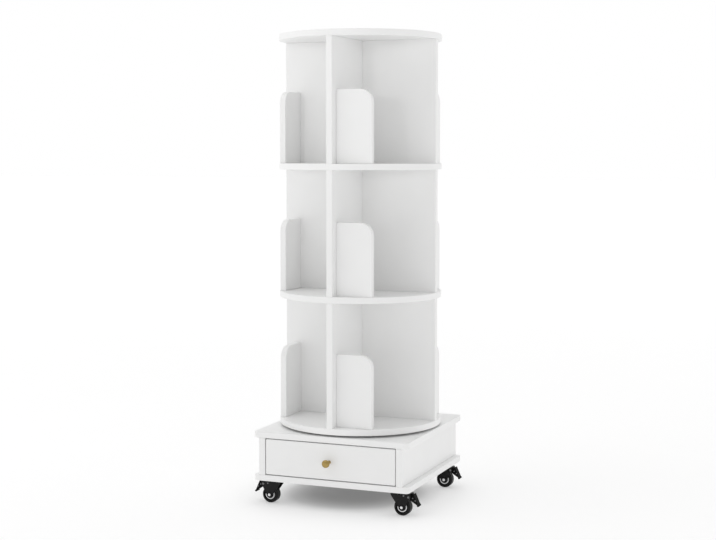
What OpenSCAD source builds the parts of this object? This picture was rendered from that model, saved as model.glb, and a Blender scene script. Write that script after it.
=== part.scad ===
// Revolving bookcase: three round tiers on a turntable, over a square drawer base on swivel casters.
// +Z is up, the drawer opens towards -Y, and the origin is on the floor under the turning axis.

/* [Round shelves] */
// Diameter of the round shelves
disc_d = 400; // [380:5:460]
// Thickness of the round shelves
disc_t = 15; // [12:1:20]
// Rounding of a shelf's rim
rim_r = 1.5; // [0.5:0.5:4]
// Clear height between two shelves
tier_h = 299; // [260:5:360]

/* [Dividers] */
// Thickness of the upright dividers
divider_t = 15; // [12:1:20]
// Distance from a divider's end to the shelf's rim
divider_inset = 1; // [0.5:0.5:8]
// Rounding of a divider's upright edges
divider_edge_r = 1.5; // [0.5:0.5:4]

/* [Book stops] */
// Height of a book stop
stop_h = 175; // [120:5:220]
// Thickness of a book stop
stop_t = 15; // [12:1:20]
// Reach of a book stop, from the middle of its divider
stop_reach = 98; // [70:1:110]
// Distance from a book stop's outer corner to the shelf's rim
stop_inset = 0.4; // [0.2:0.1:5]
// Radius of a book stop's free top corner
stop_corner_r = 30; // [5:1:50]

/* [Base] */
// Width of the base plates
base_w = 400; // [380:5:460]
// Depth of the base plates
base_d = 400; // [380:5:460]
// Thickness of the base plates
plate_t = 15; // [12:1:20]
// Radius of the base plates' corners
plate_corner_r = 10; // [3:1:14]
// Overhang of the plates past the side panels
overhang = 15; // [5:1:25]
// Thickness of the side panels
side_t = 16; // [12:1:20]
// Height of the side panels
side_h = 90; // [84:1:140]
// Thickness of the back panel
back_t = 12; // [9:1:18]

/* [Drawer] */
// Gap round the drawer's front
front_gap = 2; // [1.5:0.5:4]
// Thickness of the drawer's front
front_t = 15; // [12:1:20]
// Thickness of the drawer's sides and back
box_t = 12; // [10:1:15]
// Gap between a drawer side and the side panel
box_gap = 5; // [3:0.5:8]
// Height of the drawer's sides
box_h = 68; // [56:1:70]
// Thickness of the drawer's bottom
bottom_t = 4; // [3:0.5:6]
// Depth of the grooves that hold the drawer's bottom
bottom_groove = 5; // [3:0.5:6]
// Free space behind the drawer
rear_gap = 20; // [5:1:60]
// Height of the wooden runners
runner_h = 14; // [10:1:18]
// How far the runners reach into the drawer sides
runner_bite = 5; // [3:0.5:6]

/* [Knob] */
// Diameter of the knob's head
knob_d = 19; // [12:1:30]
// Distance the knob stands out from the drawer's front
knob_l = 28; // [20:1:36]
// Height of the knob's head
knob_head_h = 13; // [8:0.5:16]
// Diameter of the knob's neck, where it meets the drawer
knob_foot_d = 9; // [8:0.5:14]

/* [Turntable] */
// Height of each turntable ring
ring_h = 4.6; // [4.6:0.1:9]
// Height that the inner ring stands above the outer ring
ring_lift = 0.5; // [0.4:0.1:0.8]
// Radius of the ball race
race_r = 120; // [100:1:130]
// Width of each turntable ring
ring_w = 28; // [26:1:34]
// Diameter of the turntable's balls
ball_d = 3; // [2.6:0.1:3.2]
// Number of balls
balls = 36; // [24:1:60]

/* [Casters] */
// Height of a caster, from the floor to the base
caster_h = 61; // [60:1:75]
// Diameter of a wheel
wheel_d = 41; // [36:1:42]
// Width of a wheel
wheel_w = 20; // [14:1:22]
// Side of the square mounting plate
mount_w = 42; // [40:1:48]
// Thickness of the mounting plate
mount_t = 2; // [1.5:0.5:3]
// Distance from the base's side edge to a caster's swivel axis
caster_in_x = 32; // [30:1:60]
// Distance from the base's front edge to a caster's swivel axis
caster_in_y = 44; // [30:1:70]
// Distance from the swivel axis to the wheel's axle
trail = 4; // [0:1:10]
// Thickness of the fork's sheet
fork_t = 2; // [1.5:0.5:2.5]
// Angle that the brake pedal is pressed through
brake_angle = 15; // [8:1:18]

/* [Hidden] */
$fn = 64;

// Clearances: fixed pieces in their holes, running fits, free gaps between moving pieces
seat_fit = 0.05;
run_fit = 0.05;
free_gap = 0.3;
cut = 1; // how far a cutter runs past the face that it opens

// Heights, from the floor up
bottom_plate_z = caster_h;
side_z = bottom_plate_z + plate_t;
top_plate_z = side_z + side_h;
ring_z = top_plate_z + plate_t;
turntable_h = ring_h + ring_lift;
disc_r = disc_d / 2;
pitch = disc_t + tier_h;
function disc_z(level) = ring_z + turntable_h + level * pitch;
function tier_z(tier) = disc_z(tier) + disc_t;

// Base
side_x = base_w / 2 - overhang;          // outer face of a side panel
inner_x = side_x - side_t;               // inner face of a side panel
back_y = base_d / 2 - back_t;            // inner face of the back panel

// Dowels
dowel_d = 8;
dowel_in_board = 14;                     // depth in the edge of an upright board
plate_skin = 4;                          // wood left under a blind hole in a board
dowel_end = 45;                          // distance of the outer dowels from a board's end
dowel_r0 = 60;                           // distance of the inner divider dowels from the axis
base_dowel_ys = [for (k = [-1, 0, 1]) k * (base_d / 2 - dowel_end)];
dowel_rs = [dowel_r0, disc_r - dowel_end];
stop_dowel_d = 6;
stop_dowel_in = 8;                       // depth in the divider
stop_dowel_out = 18;                     // depth in the book stop
stop_dowel_end = 35;                     // distance of the lower dowel from the stop's foot
stop_dowel_zs = [stop_dowel_end, stop_h - stop_corner_r - stop_dowel_end / 2];

// Book stops: the outer corner lies just inside the shelf's rim
stop_face = sqrt(pow(disc_r - stop_inset, 2) - pow(stop_reach, 2));
stop_mid = stop_face - stop_t / 2;

// Drawer
front_w = 2 * (inner_x - front_gap);
front_h = side_h - 2 * front_gap;
front_z = side_z + front_gap;
front_y = -base_d / 2;                   // front face, flush with the base plates
box_y0 = front_y + front_t;              // back face of the drawer's front
box_y1 = back_y - rear_gap;              // rear end of the drawer's sides
box_x1 = inner_x - box_gap;              // outer face of a drawer side
box_x0 = box_x1 - box_t;                 // inner face of a drawer side
box_lift = 6;                            // height of the drawer's sides above the front's lower edge
box_z = front_z + box_lift;
bottom_skin = 5;                         // wood left under the groove for the drawer's bottom
bottom_z = box_z + bottom_skin;          // underside of the drawer's bottom
runner_z = box_z + box_h / 2 - runner_h / 2;
runner_end = 20;                         // length of drawer side in front of the groove
runner_y0 = box_y0 + runner_end + free_gap;
runner_rear_gap = 8;
runner_y1 = back_y - runner_rear_gap;
runner_x0 = box_x1 - runner_bite;        // inner face of a runner
groove_x = runner_bite + 2 * free_gap;   // depth of the groove in a drawer side
drawer_dowel_d = 6;
drawer_dowel_l = 20;
drawer_dowel_end = 18;                   // distance of the drawer's dowels from its sides' edges

// Turntable
ball_r = ball_d / 2;
race_fit = 0.15;                         // gap round a ball in its race and in the cage
groove_r = ball_r + race_fit;
race_gap = 1.2;                          // gap between the two rings
ring_out_r = race_r + ring_w;            // outer radius of the outer ring
ring_in_r = race_r - ring_w;             // inner radius of the inner ring
cage_t = 0.5;
cage_gap = 0.45;                         // gap over and under the cage
race_z = ring_z + turntable_h / 2;
ring_screws = 8;
outer_screw_r = race_r + ring_w / 2;
inner_screw_r = race_r - ring_w / 2;

// Wood screws
screw_r = 1.75;
screw_head_r = 3.6;
screw_head_h = 1.9;
screw_tip_r = 0.4;
screw_skin = 3;                          // wood left past the point of a screw

// Casters: local frame with the swivel axis at x = 0 and the pedal on the +X side
wheel_r = wheel_d / 2;
caster_x = base_w / 2 - caster_in_x;
caster_y = base_d / 2 - caster_in_y;
mount_z = caster_h - mount_t;
mount_corner_r = 4;
mount_screw = mount_w / 2 - 5;           // distance of a mounting screw from the swivel axis
mount_screw_r = 2;
mount_head_r = 3.6;
mount_head_h = 2;
swivel_r = 14.5;                         // swivel housing under the mounting plate
swivel_h = 5;
crown_extra = 0.5;                       // what the pressed crown adds to the sheet's thickness
crown_t = fork_t + crown_extra;
crown_z = mount_z - swivel_h - crown_t;  // underside of the fork's crown
crown_back = 24;                         // reach of the fork's crown away from the pedal
king_r = 4;
king_head_r = 7;
king_head_h = 3;
axle_r = 3;
axle_head_r = 5;
axle_head_h = 1.8;
cheek_y = wheel_w / 2 + 1;               // inner face of a fork cheek
cheek_out = cheek_y + fork_t;            // outer face of a fork cheek
cheek_end_r = axle_r + 5;                // round end of a cheek at the axle
cheek_lug_r = 5;                         // round lug of a cheek at the pedal's pin
tyre_edge_r = 3;
tyre_t = 5;                              // depth of the tyre, from its tread to the wheel's disc
disc_w = 12;                             // thickness of the wheel's disc
ring_in = 9;                             // raised ring on the wheel's disc
ring_out = 11.7;
hub_r = 7;
pedal_pin_r = 2;
shoe_reach = 10.5;                       // gap between the tread and the pedal's pin
pin_reach = wheel_r + shoe_reach;
pin_at = 57;                             // direction of the pin from the axle, in degrees
pin_x = trail + pin_reach * cos(pin_at);
pin_z = wheel_r + pin_reach * sin(pin_at);
pedal_hub_r = 4.5;
lobe_r = 2;                              // round nose of the lobe that brakes the tyre
lobe_w = 14;
pedal_t = 2.4;
pedal_w = 17;
pedal_arm_l = 12;                        // flat arm of the pedal, from its pin to its bend
pedal_arm_rise = 27;                     // slope of the arm, in degrees
pedal_tread_l = 28;                      // tread of the pedal, from the bend to its tip
pedal_drop = 66;                         // slope of the tread, in degrees
pedal_lip_r = 2.4;
pedal_flange = 7;                        // depth of the pedal's side flanges

// A board lying flat: width along X, depth along Y, with round upright corners
module flat_board(w, d, t, r) {
    linear_extrude(t) rounded_outline(w, d, r);
}

module rounded_outline(w, d, r) {
    union() {
        square([w - 2 * r, d], center = true);
        square([w, d - 2 * r], center = true);
        for (sx = [-1, 1], sy = [-1, 1])
            translate([sx * (w / 2 - r), sy * (d / 2 - r)]) circle(r);
    }
}

// A wood screw with its head's flat face at z = 0 and its point up
module countersunk_screw(length) {
    cylinder(h = screw_head_h, r1 = screw_head_r, r2 = screw_r);
    cylinder(h = length - screw_r, r = screw_r);
    translate([0, 0, length - screw_r]) cylinder(h = screw_r, r1 = screw_r, r2 = screw_tip_r);
}

module countersunk_hole(length) {
    cylinder(h = screw_head_h, r1 = screw_head_r + seat_fit, r2 = screw_r + seat_fit);
    cylinder(h = length, r = screw_r + seat_fit);
    mirror([0, 0, 1]) cylinder(h = cut, r = screw_head_r + seat_fit);
}

module dowel(d, length) {
    cylinder(h = length, d = d);
}

// Base

module base_dowel_places() {
    for (sx = [-1, 1], y = base_dowel_ys) {
        translate([sx * (side_x - side_t / 2), y, bottom_plate_z + plate_skin]) children();
        translate([sx * (side_x - side_t / 2), y, top_plate_z - dowel_in_board]) children();
    }
}

base_dowel_l = dowel_in_board + plate_t - plate_skin;

module base_dowels() {
    color("burlywood") base_dowel_places() dowel(dowel_d, base_dowel_l);
}

module base_dowel_holes() {
    base_dowel_places() dowel(dowel_d + 2 * seat_fit, base_dowel_l);
}

module base_bottom_plate() {
    color("white") difference() {
        translate([0, 0, bottom_plate_z]) flat_board(base_w, base_d, plate_t, plate_corner_r);
        base_dowel_holes();
        caster_places() mount_screw_places() cylinder(h = mount_screw_l, r = mount_screw_r + seat_fit);
    }
}

module base_top_plate() {
    color("white") difference() {
        translate([0, 0, top_plate_z]) flat_board(base_w, base_d, plate_t, plate_corner_r);
        base_dowel_holes();
        outer_ring_screw_places() countersunk_hole(outer_screw_l);
    }
}

module base_side(side) {
    color("white") difference() {
        translate([side * (side_x - side_t / 2), 0, side_z + side_h / 2])
            cube([side_t, base_d, side_h], center = true);
        base_dowel_holes();
        runner_screw_places(side) countersunk_hole(runner_screw_l);
    }
}

module base_back() {
    color("white") translate([-inner_x, back_y, side_z]) cube([2 * inner_x, back_t, side_h]);
}

// Drawer runners: hardwood strips on the side panels, which the grooved drawer sides slide on

runner_screw_l = inner_x - runner_x0 + side_t - screw_skin;
runner_screw_end = 40;                   // distance of the outer screws from a runner's end

module runner_screw_places(side) {
    for (y = [runner_y0 + runner_screw_end, (runner_y0 + runner_y1) / 2, runner_y1 - runner_screw_end])
        translate([side * runner_x0, y, runner_z + runner_h / 2]) rotate([0, side * 90, 0]) children();
}

module drawer_runner(side) {
    w = inner_x - runner_x0;
    color("burlywood") difference() {
        translate([side * (runner_x0 + w / 2), (runner_y0 + runner_y1) / 2, runner_z + runner_h / 2])
            cube([w, runner_y1 - runner_y0, runner_h], center = true);
        runner_screw_places(side) countersunk_hole(runner_screw_l);
    }
}

module runner_screws() {
    color("silver") for (side = [-1, 1]) runner_screw_places(side) countersunk_screw(runner_screw_l);
}

// Turntable: two aluminium rings, one inside the other, with a caged row of balls between them

outer_screw_l = ring_h + plate_t - screw_skin;
inner_screw_l = ring_h + disc_t - 2 * screw_skin;

module outer_ring_screw_places() {
    for (k = [0 : ring_screws - 1])
        rotate(360 * k / ring_screws) translate([outer_screw_r, 0, ring_z + ring_h])
            mirror([0, 0, 1]) children();
}

module inner_ring_screw_places() {
    for (k = [0 : ring_screws - 1])
        rotate(360 * (k + 0.5) / ring_screws) translate([inner_screw_r, 0, ring_z + ring_lift]) children();
}

module turntable_outer_ring() {
    color("lightgray") difference() {
        rotate_extrude() difference() {
            translate([race_r + race_gap / 2, ring_z]) square([ring_out_r - race_r - race_gap / 2, ring_h]);
            translate([race_r, race_z]) circle(groove_r, $fn = 32);
        }
        outer_ring_screw_places() countersunk_hole(outer_screw_l);
    }
}

module turntable_inner_ring() {
    color("lightgray") difference() {
        rotate_extrude() difference() {
            translate([ring_in_r, ring_z + ring_lift]) square([race_r - race_gap / 2 - ring_in_r, ring_h]);
            translate([race_r, race_z]) circle(groove_r, $fn = 32);
        }
        inner_ring_screw_places() countersunk_hole(inner_screw_l);
    }
}

module outer_ring_screws() {
    color("silver") outer_ring_screw_places() countersunk_screw(outer_screw_l);
}

module inner_ring_screws() {
    color("silver") inner_ring_screw_places() countersunk_screw(inner_screw_l);
}

module ball_places() {
    for (k = [0 : balls - 1]) rotate(360 * k / balls) translate([race_r, 0, race_z]) children();
}

module ball_cage() {
    cage_h = turntable_h - 2 * cage_gap;
    color("dimgray") difference() {
        rotate_extrude() translate([race_r - cage_t / 2, race_z - cage_h / 2]) square([cage_t, cage_h]);
        ball_places() rotate([0, 90, 0]) cylinder(h = 4 * cage_t, r = groove_r, center = true, $fn = 24);
    }
}

module turntable_balls() {
    color("silver") ball_places() sphere(ball_r, $fn = 24);
}

// Round shelves

module divider_dowel_places(level) {
    for (arm = [0 : 3], r = dowel_rs) rotate(90 * arm) translate([r, 0, dowel_z0(level)]) children();
}

function dowel_z0(level) = disc_z(level) + (level == 0 ? plate_skin : -dowel_in_board);
function dowel_z1(level) = disc_z(level) + disc_t + (level == 3 ? -plate_skin : dowel_in_board);

module divider_dowels() {
    color("burlywood") for (level = [0 : 3])
        divider_dowel_places(level) dowel(dowel_d, dowel_z1(level) - dowel_z0(level));
}

module divider_dowel_holes(level) {
    divider_dowel_places(level) dowel(dowel_d + 2 * seat_fit, dowel_z1(level) - dowel_z0(level));
}

module shelf(level) {
    color("white") difference() {
        translate([0, 0, disc_z(level)]) rotate_extrude($fn = 128) shelf_half_section();
        divider_dowel_holes(level);
        if (level == 0) inner_ring_screw_places() countersunk_hole(inner_screw_l);
    }
}

module shelf_half_section() {
    union() {
        square([disc_r - rim_r, disc_t]);
        translate([0, rim_r]) square([disc_r, disc_t - 2 * rim_r]);
        for (y = [rim_r, disc_t - rim_r]) translate([disc_r - rim_r, y]) circle(rim_r, $fn = 32);
    }
}

// Dividers: one full-width board along X and two half boards along Y on each tier

module upright_board(x0, x1) {
    translate([(x0 + x1) / 2, 0]) linear_extrude(tier_h) rounded_outline(x1 - x0, divider_t, divider_edge_r);
}

module divider(tier) {
    color("white") difference() {
        translate([0, 0, tier_z(tier)]) upright_board(-disc_r + divider_inset, disc_r - divider_inset);
        divider_dowel_holes(tier);
        divider_dowel_holes(tier + 1);
        stop_dowel_holes(tier);
    }
}

module half_divider(tier, side) {
    color("white") difference() {
        translate([0, 0, tier_z(tier)]) rotate(side * 90) half_board();
        divider_dowel_holes(tier);
        divider_dowel_holes(tier + 1);
        stop_dowel_holes(tier);
    }
}

module half_board() {
    linear_extrude(tier_h) union() {
        translate([divider_t / 2, -divider_t / 2]) square([disc_r / 2, divider_t]);
        translate([(disc_r - divider_inset + divider_t) / 2, 0])
            rounded_outline(disc_r - divider_inset - divider_t, divider_t, divider_edge_r);
    }
}

// Book stops: a short board on each divider end, square to it, with a round free top corner

module stop_places(tier) {
    for (arm = [0 : 3]) rotate(90 * arm) translate([stop_face, 0, tier_z(tier)]) children();
}

module book_stops(tier) {
    color("white") difference() {
        stop_places(tier) rotate([90, 0, -90]) mirror([1, 0, 0])
            linear_extrude(stop_t) stop_outline();
        stop_dowel_holes(tier);
    }
}

module stop_outline() {
    union() {
        translate([divider_t / 2, 0]) square([stop_reach - divider_t / 2, stop_h - stop_corner_r]);
        translate([divider_t / 2, 0]) square([stop_reach - divider_t / 2 - stop_corner_r, stop_h]);
        translate([stop_reach - stop_corner_r, stop_h - stop_corner_r]) circle(stop_corner_r);
    }
}

module stop_dowel_places(tier) {
    stop_places(tier) for (z = stop_dowel_zs)
        translate([-stop_t / 2, divider_t / 2 - stop_dowel_in, z]) rotate([-90, 0, 0]) children();
}

module book_stop_dowels() {
    color("burlywood") for (tier = [0 : 2])
        stop_dowel_places(tier) dowel(stop_dowel_d, stop_dowel_in + stop_dowel_out);
}

module stop_dowel_holes(tier) {
    stop_dowel_places(tier) dowel(stop_dowel_d + 2 * seat_fit, stop_dowel_in + stop_dowel_out);
}

// Drawer

back_lower = 6;                          // how far the drawer's back stays below its sides
back_z = bottom_z + bottom_t;
back_h = box_z + box_h - back_lower - back_z;

module drawer_dowel_places() {
    for (sx = [-1, 1], z = [back_z + drawer_dowel_end / 2, box_z + box_h - drawer_dowel_end]) {
        // Along Y, from the drawer's front into the ends of its sides
        translate([sx * (box_x0 + box_t / 2), box_y0 - drawer_dowel_l / 2, z]) rotate([-90, 0, 0]) children();
        // Along X, from the sides into the ends of the drawer's back
        translate([sx * (box_x0 + box_t - plate_skin - drawer_dowel_l / 2), box_y1 - box_t / 2, z])
            rotate([0, 90, 0]) translate([0, 0, -drawer_dowel_l / 2]) children();
    }
}

module drawer_dowels() {
    color("burlywood") drawer_dowel_places() dowel(drawer_dowel_d, drawer_dowel_l);
}

module drawer_dowel_holes() {
    drawer_dowel_places() dowel(drawer_dowel_d + 2 * seat_fit, drawer_dowel_l);
}

module drawer_bottom_space(fit, past) {
    w = box_x0 + bottom_groove + fit;
    y0 = box_y0 - bottom_groove - fit;
    translate([-w, y0, bottom_z - fit]) cube([2 * w, box_y1 + past - y0, bottom_t + 2 * fit]);
}

module drawer_front() {
    color("white") difference() {
        translate([-front_w / 2, front_y, front_z]) cube([front_w, front_t, front_h]);
        drawer_dowel_holes();
        drawer_bottom_space(seat_fit, cut);
        knob_place() translate([0, 0, -front_t - cut])
            cylinder(h = front_t + 2 * cut, r = knob_screw_r + free_gap);
    }
}

module drawer_side(side) {
    color("white") difference() {
        translate([side * (box_x0 + box_t / 2), (box_y0 + box_y1) / 2, box_z + box_h / 2])
            cube([box_t, box_y1 - box_y0, box_h], center = true);
        // Groove for the runner, open at the rear
        groove_y0 = box_y0 + runner_end;
        groove_l = box_y1 + cut - groove_y0;
        translate([side * box_x1, groove_y0 + groove_l / 2, runner_z + (runner_h - free_gap) / 2])
            cube([2 * groove_x, groove_l, runner_h + free_gap], center = true);
        drawer_dowel_holes();
        drawer_bottom_space(seat_fit, cut);
    }
}

module drawer_back() {
    color("white") difference() {
        translate([-box_x0, box_y1 - box_t, back_z]) cube([2 * box_x0, box_t, back_h]);
        drawer_dowel_holes();
    }
}

module drawer_bottom() {
    color("wheat") drawer_bottom_space(0, 0);
}

// Knob

knob_screw_r = 2;
knob_screw_head_r = 4;
knob_screw_head_h = 2.4;
knob_screw_skin = 10;                    // brass left past the screw's hole
knob_screw_in = knob_l - knob_screw_skin;

module knob_place() {
    translate([0, front_y, front_z + front_h / 2]) rotate([90, 0, 0]) children();
}

module drawer_knob() {
    color("goldenrod") knob_place() difference() {
        rotate_extrude($fn = 64) intersection() {
            union() {
                square([knob_foot_d / 2, knob_l - knob_head_h / 2]);
                translate([0, knob_l - knob_head_h / 2]) knob_head_section();
            }
            square([knob_d, knob_l]);
        }
        translate([0, 0, -cut]) cylinder(h = knob_screw_in + 2 * cut, r = knob_screw_r + seat_fit);
    }
}

// A flattened ball: a wide round rim with a flat face
module knob_head_section() {
    rim = knob_head_h / 2;
    union() {
        translate([knob_d / 2 - rim, 0]) circle(rim, $fn = 48);
        translate([0, -rim]) square([knob_d / 2 - rim, knob_head_h]);
    }
}

module knob_screw() {
    color("silver") knob_place() translate([0, 0, -front_t]) {
        cylinder(h = front_t + knob_screw_in, r = knob_screw_r);
        mirror([0, 0, 1]) cylinder(h = knob_screw_head_h, r = knob_screw_head_r);
    }
}

// Casters

corner_x = [-1, 1, -1, 1];
corner_y = [-1, -1, 1, 1];

module caster_place(corner) {
    translate([corner_x[corner] * caster_x, corner_y[corner] * caster_y, 0])
        mirror([corner_x[corner] < 0 ? 1 : 0, 0, 0]) children();
}

module caster_places() {
    for (corner = [0 : 3]) caster_place(corner) children();
}

mount_screw_skin = 1;                    // wood left past a mounting screw
mount_screw_l = plate_t - mount_screw_skin + mount_t;

module mount_screw_places() {
    for (sx = [-1, 1], sy = [-1, 1]) translate([sx * mount_screw, sy * mount_screw, mount_z]) children();
}

module caster_plate(corner) {
    color("black") caster_place(corner) difference() {
        union() {
            translate([0, 0, mount_z]) flat_board(mount_w, mount_w, mount_t, mount_corner_r);
            // Swivel housing: a shallow dish pressed down from the plate
            translate([0, 0, mount_z - swivel_h])
                cylinder(h = swivel_h, r1 = swivel_r - mount_t, r2 = swivel_r);
            // King pin and its riveted head
            translate([0, 0, crown_z - free_gap]) cylinder(h = mount_z - crown_z + free_gap, r = king_r);
            translate([0, 0, crown_z - free_gap - king_head_h]) cylinder(h = king_head_h, r = king_head_r);
        }
        mount_screw_places() translate([0, 0, -cut])
            cylinder(h = mount_t + 2 * cut, r = mount_screw_r + seat_fit);
    }
}

module caster_screws() {
    color("silver") caster_places() mount_screw_places() {
        cylinder(h = mount_screw_l, r = mount_screw_r);
        translate([0, 0, -mount_head_h])
            cylinder(h = mount_head_h, r1 = mount_head_r - mount_head_h / 4, r2 = mount_head_r);
    }
}

// Fork: one pressed sheet with a crown, two cheeks, the axle and the pin of the brake pedal
module caster_fork(corner) {
    crown_front = pin_x + cheek_lug_r - 1;
    color("black") caster_place(corner) difference() {
        union() {
            translate([-crown_back, -cheek_out, crown_z])
                cube([crown_back + crown_front, 2 * cheek_out, crown_t]);
            for (y = [-cheek_out, cheek_y]) translate([0, y + fork_t, 0]) rotate([90, 0, 0])
                linear_extrude(fork_t) cheek_outline(crown_front);
            translate([trail, 0, wheel_r]) rotate([90, 0, 0]) {
                cylinder(h = 2 * cheek_out, r = axle_r, center = true);
                for (s = [-1, 1]) translate([0, 0, s * (cheek_out + axle_head_h / 2)])
                    cylinder(h = axle_head_h, r = axle_head_r, center = true);
            }
            translate([pin_x, 0, pin_z]) rotate([90, 0, 0])
                cylinder(h = 2 * cheek_out + pedal_pin_r, r = pedal_pin_r, center = true);
        }
        translate([0, 0, crown_z - cut]) cylinder(h = crown_t + 2 * cut, r = king_r + run_fit);
    }
}

// A cheek tapers from the crown to its round end at the axle
module cheek_outline(crown_front) {
    crown_top = crown_z + crown_t;
    union() {
        translate([trail, wheel_r]) circle(cheek_end_r);
        translate([pin_x, pin_z]) circle(cheek_lug_r);
        polygon([
            [-crown_back, crown_top], [-crown_back, crown_z - crown_t],
            [trail - cheek_end_r, wheel_r], [trail + cheek_end_r, wheel_r],
            [pin_x + cheek_lug_r, pin_z], [crown_front, crown_top]
        ]);
    }
}

module caster_wheel(corner) {
    hub_w = 2 * (cheek_y - free_gap);
    disc_r1 = wheel_r - tyre_t;
    color([0.12, 0.12, 0.13]) caster_place(corner) translate([trail, 0, wheel_r]) rotate([90, 0, 0])
        difference() {
            union() {
                // Tyre, with round edges
                rotate_extrude() difference() {
                    wheel_half_tyre();
                    translate([0, -wheel_w]) square([disc_r1, 2 * wheel_w]);
                }
                cylinder(h = disc_w, r = disc_r1, center = true);
                cylinder(h = hub_w, r = hub_r, center = true);
                // Raised ring on each side of the disc
                difference() {
                    cylinder(h = wheel_w, r = ring_out, center = true);
                    cylinder(h = wheel_w + 2 * cut, r = ring_in, center = true);
                }
            }
            cylinder(h = hub_w + 2 * cut, r = axle_r + run_fit, center = true);
        }
}

module wheel_half_tyre() {
    union() {
        translate([0, -wheel_w / 2]) square([wheel_r - tyre_edge_r, wheel_w]);
        translate([0, tyre_edge_r - wheel_w / 2]) square([wheel_r, wheel_w - 2 * tyre_edge_r]);
        for (s = [-1, 1]) translate([wheel_r - tyre_edge_r, s * (wheel_w / 2 - tyre_edge_r)])
            circle(tyre_edge_r, $fn = 32);
    }
}

// Brake pedal: a hub on the fork's pin, a bent and flanged tread, and a lobe that turns down on the tyre
module brake_pedal(corner) {
    lobe_l = shoe_reach - free_gap - lobe_r;
    lobe_at = 180 + pin_at + brake_angle;    // points at the axle once the pedal is pressed
    hub_w = 2 * (cheek_y - free_gap);
    color("black") caster_place(corner) translate([pin_x, 0, pin_z]) rotate([90, 0, 0]) difference() {
        union() {
            cylinder(h = hub_w, r = pedal_hub_r, center = true);
            linear_extrude(lobe_w, center = true) rotate(lobe_at) union() {
                translate([0, -lobe_r]) square([lobe_l, 2 * lobe_r]);
                translate([lobe_l, 0]) circle(lobe_r);
            }
            linear_extrude(pedal_w, center = true) pedal_outline(pedal_t / 2);
            for (s = [-1, 1]) translate([0, 0, s * (pedal_w - pedal_t) / 2])
                linear_extrude(pedal_t, center = true) pedal_flange_outline();
        }
        cylinder(h = hub_w + 2 * cut, r = pedal_pin_r + run_fit, center = true);
    }
}

module pedal_outline(half_t) {
    rotate(pedal_arm_rise) {
        translate([0, -half_t]) square([pedal_arm_l, 2 * half_t]);
        translate([pedal_arm_l, 0]) {
            circle(half_t);
            rotate(-pedal_drop - pedal_arm_rise) {
                translate([0, -half_t]) square([pedal_tread_l, 2 * half_t]);
                translate([pedal_tread_l, 0]) circle(pedal_lip_r);
            }
        }
    }
}

// The flange runs along the inside of the bend and fades out towards the tip
module pedal_flange_outline() {
    bend = [pedal_arm_l * cos(pedal_arm_rise), pedal_arm_l * sin(pedal_arm_rise)];
    tip = bend + pedal_tread_l * [cos(pedal_drop), -sin(pedal_drop)];
    polygon([[0, 0], bend, tip, bend + pedal_flange * [-1, -2]]);
}

base_bottom_plate();
base_top_plate();
base_side(-1);  // base_side_left
base_side(1);  // base_side_right
base_back();
base_dowels();
drawer_runner(-1);  // drawer_runner_left
drawer_runner(1);  // drawer_runner_right
runner_screws();
turntable_outer_ring();
outer_ring_screws();
caster_plate(0);  // caster_plate_front_left
caster_plate(1);  // caster_plate_front_right
caster_plate(2);  // caster_plate_rear_left
caster_plate(3);  // caster_plate_rear_right
caster_screws();
ball_cage();
turntable_balls();
turntable_inner_ring();
inner_ring_screws();
shelf(0);  // shelf_bottom
shelf(1);  // shelf_lower
shelf(2);  // shelf_upper
shelf(3);  // shelf_top
divider(0);  // divider_lower
half_divider(0, -1);  // half_divider_lower_front
half_divider(0, 1);  // half_divider_lower_back
divider(1);  // divider_middle
half_divider(1, -1);  // half_divider_middle_front
half_divider(1, 1);  // half_divider_middle_back
divider(2);  // divider_upper
half_divider(2, -1);  // half_divider_upper_front
half_divider(2, 1);  // half_divider_upper_back
book_stops(0);  // book_stops_lower
book_stops(1);  // book_stops_middle
book_stops(2);  // book_stops_upper
divider_dowels();
book_stop_dowels();
drawer_front();
drawer_side(-1);  // drawer_side_left
drawer_side(1);  // drawer_side_right
drawer_back();
drawer_bottom();
drawer_dowels();
drawer_knob();
knob_screw();
caster_fork(0);  // caster_fork_front_left
caster_fork(1);  // caster_fork_front_right
caster_fork(2);  // caster_fork_rear_left
caster_fork(3);  // caster_fork_rear_right
caster_wheel(0);  // caster_wheel_front_left
caster_wheel(1);  // caster_wheel_front_right
caster_wheel(2);  // caster_wheel_rear_left
caster_wheel(3);  // caster_wheel_rear_right
brake_pedal(0);  // brake_pedal_front_left
brake_pedal(1);  // brake_pedal_front_right
brake_pedal(2);  // brake_pedal_rear_left
brake_pedal(3);  // brake_pedal_rear_right
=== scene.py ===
# Revolving bookcase: white boards, brass knob and black casters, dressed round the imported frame
from math import cos, pi, radians, sin

import bmesh
import bpy
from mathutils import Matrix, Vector


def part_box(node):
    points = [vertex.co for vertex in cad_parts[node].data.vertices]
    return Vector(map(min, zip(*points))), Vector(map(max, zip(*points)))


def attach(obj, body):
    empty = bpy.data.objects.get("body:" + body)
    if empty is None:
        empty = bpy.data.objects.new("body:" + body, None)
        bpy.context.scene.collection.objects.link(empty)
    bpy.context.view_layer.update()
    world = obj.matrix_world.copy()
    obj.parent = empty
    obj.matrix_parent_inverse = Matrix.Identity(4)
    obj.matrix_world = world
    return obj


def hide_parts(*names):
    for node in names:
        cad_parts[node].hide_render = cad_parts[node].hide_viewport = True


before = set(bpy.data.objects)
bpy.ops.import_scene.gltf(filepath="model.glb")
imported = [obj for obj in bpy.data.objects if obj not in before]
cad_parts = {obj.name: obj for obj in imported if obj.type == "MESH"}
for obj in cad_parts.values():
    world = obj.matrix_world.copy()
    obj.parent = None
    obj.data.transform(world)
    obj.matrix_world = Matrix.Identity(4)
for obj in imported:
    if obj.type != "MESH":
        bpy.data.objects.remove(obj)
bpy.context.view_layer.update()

mm = 0.001
tierNames = ("lower", "middle", "upper")
cornerNames = ("front_left", "front_right", "rear_left", "rear_right")


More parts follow.
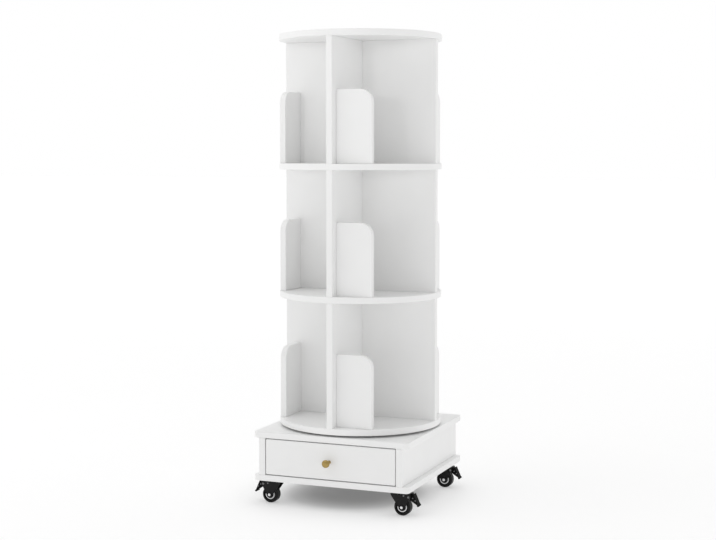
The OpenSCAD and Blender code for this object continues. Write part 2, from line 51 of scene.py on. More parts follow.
# Shader maths: a wrapped socket adds Math nodes when it is added, multiplied and so on

class Wire:
    def __init__(self, shade, socket):
        self.shade = shade
        self.socket = socket

    def calc(self, operation, *values):
        return self.shade.node("ShaderNodeMath", {"operation": operation}, dict(enumerate(values)))

    def __add__(self, other):
        return self.calc("ADD", self, other)

    def __sub__(self, other):
        return self.calc("SUBTRACT", self, other)

    def __mul__(self, other):
        return self.calc("MULTIPLY", self, other)

    def __truediv__(self, other):
        return self.calc("DIVIDE", self, other)

    def __pow__(self, other):
        return self.calc("POWER", self, other)


# The nodes of a material or of the world
class Shade:
    def __init__(self, owner, surface="Principled BSDF"):
        owner.use_nodes = True
        self.owner = owner
        self.tree = owner.node_tree
        self.surface = self.tree.nodes[surface]

    def node(self, kind, settings=None, values=None, out=0):
        made = self.tree.nodes.new(kind)
        for key, value in (settings or {}).items():
            setattr(made, key, value)
        for key, value in (values or {}).items():
            self.feed(made.inputs[key], value)
        return Wire(self, made.outputs[out])

    def feed(self, socket, value):
        if isinstance(value, Wire):
            self.tree.links.new(value.socket, socket)
        elif isinstance(value, tuple) and len(value) == 3 and socket.type == "RGBA":
            socket.default_value = (*value, 1)
        else:
            socket.default_value = value

    def finish(self, **values):
        for key, value in values.items():
            self.feed(self.surface.inputs[key.replace("_", " ")], value)
        return self.owner

    def coords(self, kind="Object"):
        return self.node("ShaderNodeTexCoord", out=kind)

    def split(self, vector):
        made = self.node("ShaderNodeSeparateXYZ", None, {0: vector}).socket.node
        return [Wire(self, socket) for socket in made.outputs]

    def noise(self, scale, detail=2.0, stretch=(1, 1, 1), roughness=0.5):
        place = self.node("ShaderNodeMapping", None, {"Vector": self.coords(), "Scale": stretch})
        return self.node("ShaderNodeTexNoise", None,
                         {"Vector": place, "Scale": scale, "Detail": detail, "Roughness": roughness})

    # By default from the middle part of a noise
    def spread(self, wire, low, high, fromLow=0.3, fromHigh=0.7, easing="LINEAR"):
        return self.node("ShaderNodeMapRange", {"interpolation_type": easing}, {
            "Value": wire, "From Min": fromLow, "From Max": fromHigh, "To Min": low, "To Max": high})

    def ramp(self, wire, stops):
        made = self.node("ShaderNodeValToRGB", None, {0: wire})
        points = made.socket.node.color_ramp.elements
        while len(points) < len(stops):
            points.new(1.0)
        for point, (place, tone) in zip(points, stops):
            point.position = place
            point.color = (tone, tone, tone, 1)
        return made

    def mixColour(self, factor, first, second):
        return self.node("ShaderNodeMix", {"data_type": "RGBA"}, {0: factor, 6: first, 7: second}, out=2)

    def bump(self, height, distance):
        return self.node("ShaderNodeBump", None, {"Height": height, "Distance": distance, "Strength": 1.0})


def newShade(name):
    return Shade(bpy.data.materials.new(name))


def scaled(tone, factor):
    return tuple(channel * factor for channel in tone)


# Materials

boardPaint = {
    # The drawer front's tone is painted shade: a little darker than the white of the other boards
    "tone": 0.915, "shadedFrontTone": 0.905, "warmth": 0.004,
    "cloud": 0.010, "cloudScale": 9.0, "cloudDetail": 3.0,
    "waveScale": 28.0, "waveDetail": 2.0, "waveShare": 0.4, "gloss": (0.34, 0.44),
    "peelScale": 420.0, "peelDetail": 1.0, "peelShare": 0.6, "depth": 0.00003,
}


def makeBoardPaint(name, tone, spec=boardPaint):
    shade = newShade(name)
    cloud = shade.noise(spec["cloudScale"], spec["cloudDetail"])
    light, dark = tone + spec["cloud"], tone - spec["cloud"]
    colour = shade.mixColour(shade.spread(cloud, 0.0, 1.0), (dark, dark, dark - spec["warmth"]),
                             (light, light, light - spec["warmth"]))
    peel = shade.noise(spec["peelScale"], spec["peelDetail"])
    wave = shade.noise(spec["waveScale"], spec["waveDetail"])
    height = peel * spec["peelShare"] + wave * spec["waveShare"]
    return shade.finish(Base_Color=colour, Roughness=shade.spread(wave, *spec["gloss"]),
                        Normal=shade.bump(height, spec["depth"]))


woodLook = {
    "pale": (0.62, 0.43, 0.25), "deep": (0.42, 0.26, 0.13), "along": 0.06,
    "grainScale": 38.0, "grainDetail": 4.0, "grainFrom": (0.35, 0.65),
    "poreScale": 342.0, "poreDetail": 2.0, "gloss": (0.5, 0.72), "depth": 0.00008,
}


def makeWood(name, stretch, spec=woodLook):
    shade = newShade(name)
    grain = shade.noise(spec["grainScale"], spec["grainDetail"], stretch)
    pores = shade.noise(spec["poreScale"], spec["poreDetail"], stretch)
    colour = shade.mixColour(shade.spread(grain, 0.0, 1.0, *spec["grainFrom"]), spec["pale"], spec["deep"])
    return shade.finish(Base_Color=colour, Roughness=shade.spread(pores, *spec["gloss"]),
                        Normal=shade.bump(pores, spec["depth"]))


hardboardLook = {
    "face": (0.76, 0.75, 0.72), "fibre": (0.66, 0.64, 0.60), "scale": 160.0, "detail": 4.0,
    "stretch": (1, 0.35, 1), "noiseRoughness": 0.65, "gloss": (0.5, 0.65), "depth": 0.00005,
}


def makeHardboard(name, spec=hardboardLook):
    shade = newShade(name)
    fibre = shade.noise(spec["scale"], spec["detail"], spec["stretch"], spec["noiseRoughness"])
    colour = shade.mixColour(shade.spread(fibre, 0.0, 1.0), spec["face"], spec["fibre"])
    return shade.finish(Base_Color=colour, Roughness=shade.spread(fibre, *spec["gloss"]),
                        Normal=shade.bump(fibre, spec["depth"]))


blackSteelLook = {
    "tone": 0.004, "dust": 0.014, "dustScale": 70.0, "dustDetail": 4.0, "dustFrom": (0.55, 0.85),
    "grainScale": 900.0, "grainDetail": 2.0, "gloss": (0.26, 0.40), "shine": 0.22, "depth": 0.00002,
}
pedalLook = {**blackSteelLook, "gloss": (0.5, 0.65), "shine": 0.06}
rubberLook = {
    "tone": 0.005, "dust": 0.018, "dustScale": 120.0, "dustDetail": 5.0, "dustFrom": (0.5, 0.8),
    "grainScale": 700.0, "grainDetail": 3.0, "gloss": (0.42, 0.60), "shine": 0.25, "depth": 0.00003,
}


def makeBlack(name, spec):
    shade = newShade(name)
    dust = shade.noise(spec["dustScale"], spec["dustDetail"])
    grain = shade.noise(spec["grainScale"], spec["grainDetail"])
    colour = shade.mixColour(shade.spread(dust, 0.0, 1.0, *spec["dustFrom"]),
                             (spec["tone"],) * 3, (spec["dust"],) * 3)
    return shade.finish(Base_Color=colour, Roughness=shade.spread(grain, *spec["gloss"]),
                        Specular_IOR_Level=spec["shine"], Normal=shade.bump(grain, spec["depth"]))


metalGrain = {"detail": 3.0, "cloudRatio": 0.08}
brassLook = {"tone": (0.46, 0.33, 0.12), "gloss": (0.30, 0.42), "scale": 500.0, "depth": 0.00002,
             "tarnish": 0.16}
zincLook = {"tone": (0.70, 0.69, 0.66), "gloss": (0.28, 0.45), "scale": 400.0, "depth": 0.00002,
            "tarnish": 0.12}
nickelLook = {"tone": (0.20, 0.20, 0.205), "gloss": (0.30, 0.42), "scale": 500.0, "depth": 0.00001,
              "tarnish": 0.15}
hubLook = {"tone": (0.86, 0.86, 0.87), "gloss": (0.30, 0.42), "scale": 300.0, "depth": 0.00001,
           "tarnish": 0.08}
ballLook = {"tone": (0.72, 0.72, 0.74), "gloss": (0.06, 0.12), "scale": 900.0, "depth": 0.000003,
            "tarnish": 0.04}


def makeMetal(name, spec):
    shade = newShade(name)
    grain = shade.noise(spec["scale"], metalGrain["detail"])
    cloud = shade.noise(spec["scale"] * metalGrain["cloudRatio"], metalGrain["detail"])
    colour = shade.mixColour(shade.spread(cloud, 0.0, 1.0), spec["tone"],
                             scaled(spec["tone"], 1 - spec["tarnish"]))
    return shade.finish(Base_Color=colour, Metallic=1.0, Roughness=shade.spread(grain, *spec["gloss"]),
                        Normal=shade.bump(grain, spec["depth"]))


turnedLook = {
    "tone": (0.72, 0.73, 0.75), "groove": 0.86, "pitch": 0.0004, "detail": 2.0,
    "gloss": (0.28, 0.44), "depth": 0.00002,
}


# Turned metal: fine rings round the turning axis
def makeTurnedMetal(name, spec=turnedLook):
    shade = newShade(name)
    x, y = shade.split(shade.coords())[:2]
    radius = (x * x + y * y) ** 0.5
    line = shade.node("ShaderNodeTexNoise", {"noise_dimensions": "1D"},
                      {"W": radius / spec["pitch"], "Scale": 1.0, "Detail": spec["detail"]})
    colour = shade.mixColour(shade.spread(line, 0.0, 1.0), spec["tone"], scaled(spec["tone"], spec["groove"]))
    return shade.finish(Base_Color=colour, Metallic=1.0, Roughness=shade.spread(line, *spec["gloss"]),
                        Normal=shade.bump(line, spec["depth"]))


plasticLook = {"tone": (0.035, 0.035, 0.038), "pale": 1.3, "scale": 600.0, "gloss": (0.42, 0.55),
               "depth": 0.00002}


def makePlastic(name, spec=plasticLook):
    shade = newShade(name)
    grain = shade.noise(spec["scale"])
    colour = shade.mixColour(shade.spread(grain, 0.0, 1.0), spec["tone"], scaled(spec["tone"], spec["pale"]))
    return shade.finish(Base_Color=colour, Roughness=shade.spread(grain, *spec["gloss"]),
                        Normal=shade.bump(grain, spec["depth"]))


whitePaint = makeBoardPaint("white paint", boardPaint["tone"])
# Painted shade: the drawer front gets a copy of the white paint that is a little darker
shadedFrontPaint = makeBoardPaint("white paint shaded darker for the drawer front", boardPaint["shadedFrontTone"])
runnerWood = makeWood("runner wood", (1, woodLook["along"], 1))
dowelWood = makeWood("dowel wood", (1, 1, woodLook["along"]))
hardboard = makeHardboard("white hardboard")
blackSteel = makeBlack("black coated steel", blackSteelLook)
pedalBlack = makeBlack("matt black of the pedals", pedalLook)
rubber = makeBlack("black tyre rubber", rubberLook)
brass = makeMetal("satin brass", brassLook)
zinc = makeMetal("zinc plated steel", zincLook)
darkNickel = makeMetal("dark nickel rivet", nickelLook)
hubSilver = makeMetal("bright hub metal", hubLook)
ballSteel = makeMetal("bearing ball steel", ballLook)
ringAluminium = makeTurnedMetal("turned aluminium")
cagePlastic = makePlastic("dark cage plastic")
print("materials made")


# Modelling helpers

def pickOnly(piece):
    for item in list(bpy.context.selected_objects):
        item.select_set(False)
    if piece is not None:
        piece.select_set(True)
        bpy.context.view_layer.objects.active = piece


def openMesh(piece):
    pickOnly(piece)
    bpy.ops.object.mode_set(mode="EDIT")
    bpy.ops.mesh.select_mode(type="EDGE")
    bpy.ops.mesh.select_all(action="DESELECT")


def closeMesh():
    bpy.ops.object.mode_set(mode="OBJECT")


def applyTransform():
    bpy.ops.object.transform_apply(location=True, rotation=True, scale=True)


def selectEdges(piece, wanted):
    mesh = bmesh.from_edit_mesh(piece.data)
    for edge in mesh.edges:
        edge.select_set(bool(wanted(edge.verts[0].co, edge.verts[1].co)))
    mesh.select_flush_mode()
    bmesh.update_edit_mesh(piece.data)


def bevelSelected(width, segments):
    bpy.ops.mesh.bevel(offset=width, offset_type="OFFSET", segments=segments, profile=0.5,
                       affect="EDGES", clamp_overlap=True)


def smoothFlat(piece, angle=35.0):
    pickOnly(piece)
    bpy.ops.object.shade_smooth_by_angle(angle=radians(angle))
    bpy.ops.object.modifier_add(type="WEIGHTED_NORMAL")
    piece.modifiers[-1].keep_sharp = True
    bpy.ops.object.modifier_apply(modifier=piece.modifiers[-1].name)


def easeSharpEdges(piece, width, segments=3, sharpness=50.0):
    openMesh(piece)
    bpy.ops.mesh.edges_select_sharp(sharpness=radians(sharpness))
    bevelSelected(width, segments)
    closeMesh()


def addBlock(name, low, high):
    low, high = Vector(low), Vector(high)
    pickOnly(None)
    bpy.ops.mesh.primitive_cube_add(size=1, location=(low + high) / 2, scale=high - low)
    piece = bpy.context.object
    piece.name = piece.data.name = name
    applyTransform()
    return piece


nearby = 0.1 * mm                         # two places closer than this count as one


def isUpright(first, second):
    return abs(first.z - second.z) > mm and (first.xy - second.xy).length < nearby


# A board in a node's place, with round upright corners, if it has any, and eased edges all over
def makeBoard(node, body, material, easing, uprightRadius=0, uprightSegments=6):
    piece = addBlock(node + "_board", *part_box(node))
    if uprightRadius:
        openMesh(piece)
        selectEdges(piece, isUpright)
        bevelSelected(uprightRadius, uprightSegments)
        closeMesh()
    easeSharpEdges(piece, easing)
    smoothFlat(piece)
    dress(piece, body, material, "white_board", node)


def dress(piece, body, material, slot, *nodes):
    piece.data.materials.clear()
    piece.data.materials.append(material)
    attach(piece, body)
    if nodes:
        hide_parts(*nodes)


copyForm = {"weld": 0.005 * mm, "flatAngle": 1.0, "sharpAngle": 40.0, "segments": 2, "bendSegments": 5}


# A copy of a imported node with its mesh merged, its flats made whole and its edges eased
def easedCopy(node, name, easing, bends=None, bendRadius=0.0):
    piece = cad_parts[node].copy()
    piece.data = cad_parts[node].data.copy()
    bpy.context.scene.collection.objects.link(piece)
    piece.parent = None
    for key in list(piece.keys()):
        del piece[key]
    piece.name = piece.data.name = name
    openMesh(piece)
    bpy.ops.mesh.select_all(action="SELECT")
    bpy.ops.mesh.remove_doubles(threshold=copyForm["weld"])
    bpy.ops.mesh.dissolve_limited(angle_limit=radians(copyForm["flatAngle"]))
    bpy.ops.mesh.select_all(action="DESELECT")
    if bends:
        selectEdges(piece, bends)
        bevelSelected(bendRadius, copyForm["bendSegments"])
        bpy.ops.mesh.select_all(action="DESELECT")
    closeMesh()
    pickOnly(piece)
    bpy.ops.object.modifier_add(type="BEVEL")
    bevel = piece.modifiers[-1]
    bevel.limit_method = "ANGLE"
    bevel.angle_limit = radians(copyForm["sharpAngle"])
    bevel.width = easing
    bevel.segments = copyForm["segments"]
    bpy.ops.object.modifier_apply(modifier=bevel.name)
    smoothFlat(piece)
    return piece


latheForm = {"weld": 0.002 * mm, "smoothAngle": 40.0}


# Turns a profile of (radius, depth) points about an axis along Y through the centre
def lathe(name, profile, centre, steps):
    pickOnly(None)
    bpy.ops.mesh.primitive_plane_add(size=mm, location=(0, 0, 0))
    piece = bpy.context.object
    piece.name = piece.data.name = name
    bpy.ops.object.mode_set(mode="EDIT")
    bpy.ops.mesh.select_mode(type="VERT")
    bpy.ops.mesh.select_all(action="SELECT")
    bpy.ops.mesh.merge(type="CENTER")
    bpy.ops.transform.translate(value=(profile[0][0], 0, profile[0][1]))
    for (r0, z0), (r1, z1) in zip(profile, profile[1:]):
        bpy.ops.mesh.extrude_vertices_move(TRANSFORM_OT_translate={"value": (r1 - r0, 0, z1 - z0)})
    bpy.ops.mesh.select_all(action="SELECT")
    bpy.ops.mesh.spin(steps=steps, angle=2 * pi, center=(0, 0, 0), axis=(0, 0, 1))
    bpy.ops.mesh.select_all(action="SELECT")
    bpy.ops.mesh.remove_doubles(threshold=latheForm["weld"])
    bpy.ops.mesh.normals_make_consistent(inside=False)
    bpy.ops.object.mode_set(mode="OBJECT")
    bpy.ops.transform.rotate(value=-pi / 2, orient_axis="X", center_override=(0, 0, 0))
    bpy.ops.transform.translate(value=centre)
    applyTransform()
    smoothFlat(piece, latheForm["smoothAngle"])
    return piece


def arc(cx, cz, r, fromDeg, toDeg, count):
    steps = [radians(fromDeg + (toDeg - fromDeg) * k / count) for k in range(count + 1)]
    return [(cx + r * cos(a), cz + r * sin(a)) for a in steps]


def copyPiece(piece, name):
    twin = piece.copy()
    twin.data = piece.data.copy()
    twin.name = twin.data.name = name
    bpy.context.scene.collection.objects.link(twin)
    return twin


# Camera: the photograph's viewpoint

cameraView = {
    "azimuth": 21.8551, "distance": 3.5768, "height": 0.8579, "pitch": 3.9044, "aside": 0.1014,
    "lens": 72.65, "sensor": 36, "shift": -0.0279, "farthest": 200,
}

turn = radians(cameraView["azimuth"])
bpy.ops.object.camera_add(
    location=(cameraView["distance"] * sin(turn), -cameraView["distance"] * cos(turn), cameraView["height"]),
    rotation=(radians(90 - cameraView["pitch"]), 0, radians(cameraView["azimuth"] + cameraView["aside"])))
camera = bpy.context.object
camera.name = "camera"
camera.data.lens = cameraView["lens"]
camera.data.sensor_width = cameraView["sensor"]
camera.data.shift_y = cameraView["shift"]
camera.data.clip_end = cameraView["farthest"]
bpy.context.scene.camera = camera
print("camera placed")


# Studio: a pale floor, an even white surround and soft lights

# Painted shadow: the floor's own glow is weak under the base and grows with the distance from the centre of
# the painted shadow, so the contact shadow round the base is painted into the floor
floorLook = {
    "half": 40.0, "tone": 0.62, "fleck": 0.004, "fleckScale": 3.0, "roughness": 0.85, "shine": 0.1,
    "paintedShadowCentre": (-0.022, 0.012, 0.0),
    "paintedShadowGlowStops": ((0.0, 0.02), (0.10, 0.01), (0.13, 0.045), (0.16, 0.12), (0.19, 0.28), (0.22, 0.365),
                  (0.26, 0.39), (0.30, 0.42), (0.35, 0.433), (0.50, 0.438), (1.0, 0.442)),
    "farGlow": 0.045, "farFrom": 0.8, "farTo": 5.0,
}
surroundLook = {
    "horizonTone": 1.0, "zenithTone": 0.90, "zenithRise": (0.08, 0.32),
    "dimSide": (0.55, -0.835, 0.0), "dimDepth": 0.37, "dimTurn": (-0.1, 0.6), "dimRise": (0.08, 0.26),
    "dimFall": (0.62, 0.88),
}
softboxes = (
    {"name": "frontal softbox", "place": (2.2, -4.1, 1.2), "target": (0, 0, 0.55),
     "power": 2.0, "size": 3.0},
    {"name": "overhead softbox", "place": (-1.2, -1.0, 3.4), "target": (0, 0, 0.6),
     "power": 9.0, "size": 2.0},
)
accent = {
    "name": "accent on the upper tier", "place": (-0.7, -4.1, 1.4), "target": (-0.08, 0.0, 1.01),
    "power": 70.0, "angle": 8.0, "size": 0.3,
}


def addLight(kind, spec):
    pickOnly(None)
    bpy.ops.object.light_add(type=kind, location=spec["place"])
    light = bpy.context.object
    light.name = spec["name"]
    light.data.energy = spec["power"]
    aim = Vector(spec["target"]) - Vector(spec["place"])
    light.rotation_euler = aim.to_track_quat("-Z", "Y").to_euler()
    return light.data


def makeFloor(spec=floorLook):
    pickOnly(None)
    bpy.ops.mesh.primitive_plane_add(size=2 * spec["half"], location=(0, 0, 0))
    floor = bpy.context.object
    floor.name = "studio_floor"
    shade = newShade("pale floor")
    fleck = shade.noise(spec["fleckScale"])
    pale, dark = (spec["tone"],) * 3, (spec["tone"] - spec["fleck"],) * 3
    colour = shade.mixColour(shade.spread(fleck, 0.0, 1.0), pale, dark)
    offset = shade.node("ShaderNodeVectorMath", {"operation": "SUBTRACT"},
                        {0: shade.coords(), 1: spec["paintedShadowCentre"]})
    away = shade.node("ShaderNodeVectorMath", {"operation": "LENGTH"}, {0: offset}, out=1)
    # Painted contact shadow: the glow is kept near nil under the base and rises to full further out
    paintedShadowGlow = shade.ramp(away, spec["paintedShadowGlowStops"])
    farGlow = shade.spread(away, 0.0, spec["farGlow"], spec["farFrom"], spec["farTo"])
    floor.data.materials.append(shade.finish(
        Base_Color=colour, Roughness=spec["roughness"], Specular_IOR_Level=spec["shine"],
        Emission_Color=paintedShadowGlow + farGlow, Emission_Strength=1.0))


# The half-high part of the room in front of the object and to its right is dimmer
def makeSurround(spec=surroundLook):
    shade = Shade(bpy.data.worlds.new("white surround"), "Background")
    direction = shade.coords("Generated")
    z = shade.split(direction)[2]
    side = shade.node("ShaderNodeVectorMath", {"operation": "DOT_PRODUCT"},
                      {0: direction, 1: spec["dimSide"]}, out=1)
    light = shade.spread(z, spec["horizonTone"], spec["zenithTone"], *spec["zenithRise"], "SMOOTHSTEP")
    dim = shade.spread(side, 0.0, spec["dimDepth"], *spec["dimTurn"], "SMOOTHSTEP")
    dim = dim * shade.spread(z, 0.0, 1.0, *spec["dimRise"], "SMOOTHSTEP")
    dim = dim * shade.spread(z, 1.0, 0.0, *spec["dimFall"], "SMOOTHSTEP")
    bpy.context.scene.world = shade.finish(Color=(1, 1, 1), Strength=light - dim)


makeFloor()
makeSurround()
for spec in softboxes:
    addLight("AREA", spec).size = spec["size"]
spot = addLight("SPOT", accent)
spot.spot_size = radians(accent["angle"])
spot.spot_blend = 1.0
spot.shadow_soft_size = accent["size"]
bpy.context.scene.view_settings.view_transform = "Standard"
print("studio set")


# Round shelves

shelfForm = {"rimRadius": 1.5 * mm, "rimSegments": 5, "facets": 240}


def makeShelf(node):
    low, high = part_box(node)
    pickOnly(None)
    bpy.ops.mesh.primitive_cylinder_add(vertices=shelfForm["facets"], radius=(high.x - low.x) / 2,
                                        depth=high.z - low.z, location=(0, 0, (low.z + high.z) / 2))
    piece = bpy.context.object
    piece.name = piece.data.name = node + "_board"
    applyTransform()
    easeSharpEdges(piece, shelfForm["rimRadius"], shelfForm["rimSegments"])
    smoothFlat(piece)
    dress(piece, "carousel", whitePaint, "white_board", node)


for level in ("bottom", "lower", "upper", "top"):
    makeShelf("shelf_" + level)
print("shelves made")


# Upright dividers

dividerForm = {"edgeRadius": 1.5 * mm, "easing": 0.5 * mm}

for tier in tierNames:
    for node in (f"divider_{tier}", f"half_divider_{tier}_front", f"half_divider_{tier}_back"):
        makeBoard(node, "carousel", whitePaint, dividerForm["easing"], dividerForm["edgeRadius"])
print("dividers made")


# Book stops: one is modelled, and its copies are turned round the tier

stopForm = {
    "thickness": 15 * mm, "inner": 7.5 * mm, "reach": 98 * mm, "cornerRadius": 30 * mm, "cornerSegments": 20,
    "easing": 1.2 * mm, "easingSegments": 4,
}


def makeStop(node, spec=stopForm):
    low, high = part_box(node)
    piece = addBlock(node + "_1", (high.x - spec["thickness"], spec["inner"], low.z),
                     (high.x, spec["reach"], high.z))
    openMesh(piece)
    selectEdges(piece, lambda a, b: min(a.y, b.y) > spec["reach"] - mm and min(a.z, b.z) > high.z - mm)
    bevelSelected(spec["cornerRadius"], spec["cornerSegments"])
    closeMesh()
    easeSharpEdges(piece, spec["easing"], spec["easingSegments"])
    smoothFlat(piece)
    return piece


for tier in tierNames:
    node = f"book_stops_{tier}"
    stops = [makeStop(node)]
    for k in (1, 2, 3):
        twin = copyPiece(stops[0], f"{node}_{k + 1}")
        pickOnly(twin)
        bpy.ops.transform.rotate(value=k * pi / 2, orient_axis="Z", center_override=(0, 0, 0))
        applyTransform()
        stops.append(twin)
    for stop in stops:
        dress(stop, "carousel", whitePaint, "white_board", node)
print("book stops made")


# Base

baseForm = {"plateCorner": 10 * mm, "cornerSegments": 12, "plateEasing": 1.6 * mm, "panelEasing": 0.8 * mm}

for node in ("base_bottom_plate", "base_top_plate"):
    makeBoard(node, "base", whitePaint, baseForm["plateEasing"],
              baseForm["plateCorner"], baseForm["cornerSegments"])
for node in ("base_side_left", "base_side_right", "base_back"):
    makeBoard(node, "base", whitePaint, baseForm["panelEasing"])
print("base made")


# Drawer

drawerForm = {"frontEasing": 2.2 * mm, "sideEasing": 0.6 * mm}

# The drawer front wears the darker copy of the white paint, which is painted shade
makeBoard("drawer_front", "drawer", shadedFrontPaint, drawerForm["frontEasing"])
for node in ("drawer_side_left", "drawer_side_right", "drawer_back"):
    board = easedCopy(node, node + "_board", drawerForm["sideEasing"])
    dress(board, "drawer", whitePaint, "white_board", node)
print("drawer made")


# Knob: turned brass, a flattened ball on a waisted neck

knobForm = {
    "footRadius": 4.2 * mm, "footHeight": 0.8 * mm, "waist": 2.7 * mm, "taper": 0.55, "taperSteps": 6,
    "headRadius": 9.5 * mm, "headHalf": 6.5 * mm, "headFrom": -66, "headSteps": 22, "steps": 48,
}


def makeKnob(spec=knobForm):
    low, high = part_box("drawer_knob")
    length = high.y - low.y
    foot, rim, count = spec["footRadius"], spec["headHalf"], spec["taperSteps"]
    narrowing = foot - spec["waist"]
    taper = (length - 2 * rim) * spec["taper"]
    profile = [(0, 0), (foot, 0), (foot, spec["footHeight"])]
    profile += [(foot - narrowing * sin(pi / 2 * k / count), spec["footHeight"] + taper * k / count)
                for k in range(1, count + 1)]
    profile += arc(spec["headRadius"] - rim, length - rim, rim, spec["headFrom"], 90, spec["headSteps"])
    profile += [(0, length)]
    centre = Vector(((low.x + high.x) / 2, high.y, (low.z + high.z) / 2))
    knob = lathe("drawer_knob_turned", profile, centre, spec["steps"])
    dress(knob, "drawer", brass, "brass", "drawer_knob")


makeKnob()
print("knob made")


# Casters

casterForm = {"forkEasing": 0.25 * mm, "crownBend": 2.2 * mm, "bendLength": 20 * mm, "plateEasing": 0.3 * mm,
              "pedalEasing": 0.35 * mm}
wheelForm = {
    "tyreRadius": 20.5 * mm, "tyreWidth": 20 * mm, "tyreEdge": 3 * mm, "edgeSteps": 6, "tyreLip": 0.6 * mm,
    "discRadius": 15.5 * mm, "discWidth": 12 * mm, "discSeat": 0.4 * mm,
    "ringIn": 9.0 * mm, "ringOut": 11.7 * mm, "ringFace": 9.9 * mm, "ringCrown": 0.5, "ringSteps": 8,
    "hubRadius": 7 * mm, "hubHalf": 10.7 * mm, "hubEasing": 0.5 * mm, "bore": 3.05 * mm, "steps": 72,
}
# Domed pin ends and rivets, in millimetres: the part that carries each, its place away from the swivel
# axis and up from the floor, and the side face that it stands on
capForms = (
    {"name": "axle_cap", "part": "fork", "out": 4, "up": 20.5, "face": 14.4,
     "radius": 3.6, "height": 1.6, "metal": hubSilver},
    {"name": "pin_cap", "part": "fork", "out": 20.9, "up": 46.5, "face": 12.9,
     "radius": 3.0, "height": 1.8, "metal": darkNickel},
    {"name": "cheek_rivet", "part": "fork", "out": 8.6, "up": 48.8, "face": 12.9,
     "radius": 2.2, "height": 1.0, "metal": darkNickel},
    {"name": "flange_rivet_upper", "part": "pedal", "out": 30.0, "up": 43.8, "face": 8.4,
     "radius": 1.7, "height": 0.9, "metal": darkNickel},
    {"name": "flange_rivet_lower", "part": "pedal", "out": 36.2, "up": 38.4, "face": 8.4,
     "radius": 1.7, "height": 0.9, "metal": darkNickel},
)
capDetail = {"sunk": 0.3 * mm, "domeSteps": 6, "steps": 28}


def sideName(side):
    return "near" if side > 0 else "far"


def middleOf(node):
    low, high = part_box(node)
    return (low + high) / 2


def wheelLathe(name, profile, corner):
    return lathe(name, profile, middleOf("caster_wheel_" + corner), wheelForm["steps"])


def makeTyre(corner, spec=wheelForm):
    edge, half, lip = spec["tyreEdge"], spec["tyreWidth"] / 2, spec["tyreLip"]
    crown, disc = spec["tyreRadius"] - edge, spec["discRadius"]
    seat = disc - spec["discSeat"]
    profile = [(disc, lip - half), (disc + lip, -half)]
    profile += arc(crown, edge - half, edge, -90, 0, spec["edgeSteps"])
    profile += arc(crown, half - edge, edge, 0, 90, spec["edgeSteps"])
    profile += [(disc + lip, half), (disc, half - lip)]
    profile += [(seat, spec["discWidth"] / 2), (seat, -spec["discWidth"] / 2), profile[0]]
    return wheelLathe("tyre_" + corner, profile, corner)


def makeHub(corner, spec=wheelForm):
    half, face, radius, easing = spec["discWidth"] / 2, spec["hubHalf"], spec["hubRadius"], spec["hubEasing"]
    outside = [(spec["bore"], face), (radius - easing, face), (radius, face - easing), (radius, half),
               (spec["discRadius"], half)]
    profile = outside + [(r, -z) for r, z in reversed(outside)] + [outside[0]]
    return wheelLathe("hub_" + corner, profile, corner)


def makeRing(corner, side, spec=wheelForm):
    middle = (spec["ringIn"] + spec["ringOut"]) / 2
    half = (spec["ringOut"] - spec["ringIn"]) / 2
    rise = half * spec["ringCrown"]
    foot, shoulder = spec["discWidth"] / 2, spec["ringFace"] - rise
    angles = [pi - pi * k / spec["ringSteps"] for k in range(spec["ringSteps"] + 1)]
    profile = [(spec["ringIn"], side * foot)]
    profile += [(middle + half * cos(a), side * (shoulder + rise * sin(a))) for a in angles]
    profile += [(spec["ringOut"], side * foot), profile[0]]
    return wheelLathe(f"hub_ring_{corner}_{sideName(side)}", profile, corner)


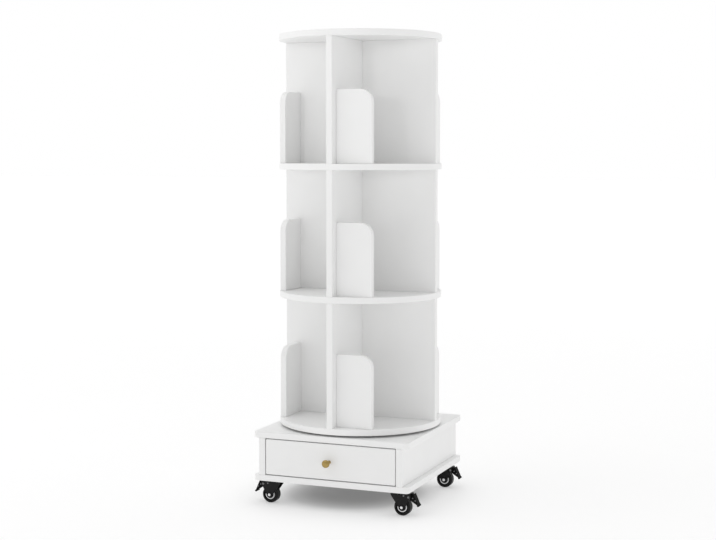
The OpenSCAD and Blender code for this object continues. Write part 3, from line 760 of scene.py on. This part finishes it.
def makeCap(corner, form, side):
    middle = middleOf("caster_plate_" + corner)
    away = 1 if middle.x > 0 else -1
    radius, height, face = form["radius"] * mm, form["height"] * mm, form["face"] * mm
    foot = side * (face - capDetail["sunk"])
    angles = [pi / 2 * k / capDetail["domeSteps"] for k in range(capDetail["domeSteps"] + 1)]
    profile = [(0, foot), (radius, foot)]
    profile += [(radius * cos(a), side * (face + height * sin(a))) for a in angles]
    centre = (middle.x + away * form["out"] * mm, middle.y, form["up"] * mm)
    cap = lathe(f"{form['name']}_{corner}_{sideName(side)}", profile, centre, capDetail["steps"])
    dress(cap, f"{form['part']}_{corner}", form["metal"], "zinc_screw")


# The crown's two long upper edges, which the press has bent
def isCrownBend(node):
    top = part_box(node)[1].z

    def test(a, b):
        return (min(a.z, b.z) > top - nearby / 2 and abs(a.y - b.y) < nearby
                and abs(a.x - b.x) > casterForm["bendLength"])
    return test


for corner in cornerNames:
    node = f"caster_fork_{corner}"
    fork = easedCopy(node, f"fork_{corner}", casterForm["forkEasing"],
                     isCrownBend(node), casterForm["crownBend"])
    dress(fork, f"fork_{corner}", blackSteel, "black_steel", node)
    plate = easedCopy(f"caster_plate_{corner}", f"mounting_plate_{corner}", casterForm["plateEasing"])
    dress(plate, "base", blackSteel, "black_steel", f"caster_plate_{corner}")
    pedal = easedCopy(f"brake_pedal_{corner}", f"pedal_{corner}", casterForm["pedalEasing"])
    dress(pedal, f"pedal_{corner}", pedalBlack, "black_steel", f"brake_pedal_{corner}")
    wheelBody = f"wheel_{corner}"
    dress(makeTyre(corner), wheelBody, rubber, "wheel_rubber", f"caster_wheel_{corner}")
    dress(makeHub(corner), wheelBody, blackSteel, "black_steel", f"caster_wheel_{corner}")
    for side in (-1, 1):
        dress(makeRing(corner, side), wheelBody, hubSilver, "zinc_screw")
    for form in capForms:
        makeCap(corner, form, 1)
        makeCap(corner, form, -1)
print("casters made")


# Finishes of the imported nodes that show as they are

nodeFinish = {
    "drawer_runner_left": runnerWood, "drawer_runner_right": runnerWood, "runner_screws": zinc,
    "base_dowels": dowelWood, "divider_dowels": dowelWood, "book_stop_dowels": dowelWood,
    "drawer_dowels": dowelWood, "drawer_bottom": hardboard, "knob_screw": zinc, "caster_screws": zinc,
    "turntable_outer_ring": ringAluminium, "turntable_inner_ring": ringAluminium,
    "outer_ring_screws": zinc, "inner_ring_screws": zinc, "ball_cage": cagePlastic,
    "turntable_balls": ballSteel,
}

for node, material in nodeFinish.items():
    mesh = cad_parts[node].data
    mesh.materials.clear()
    mesh.materials.append(material)
print("finishes given")
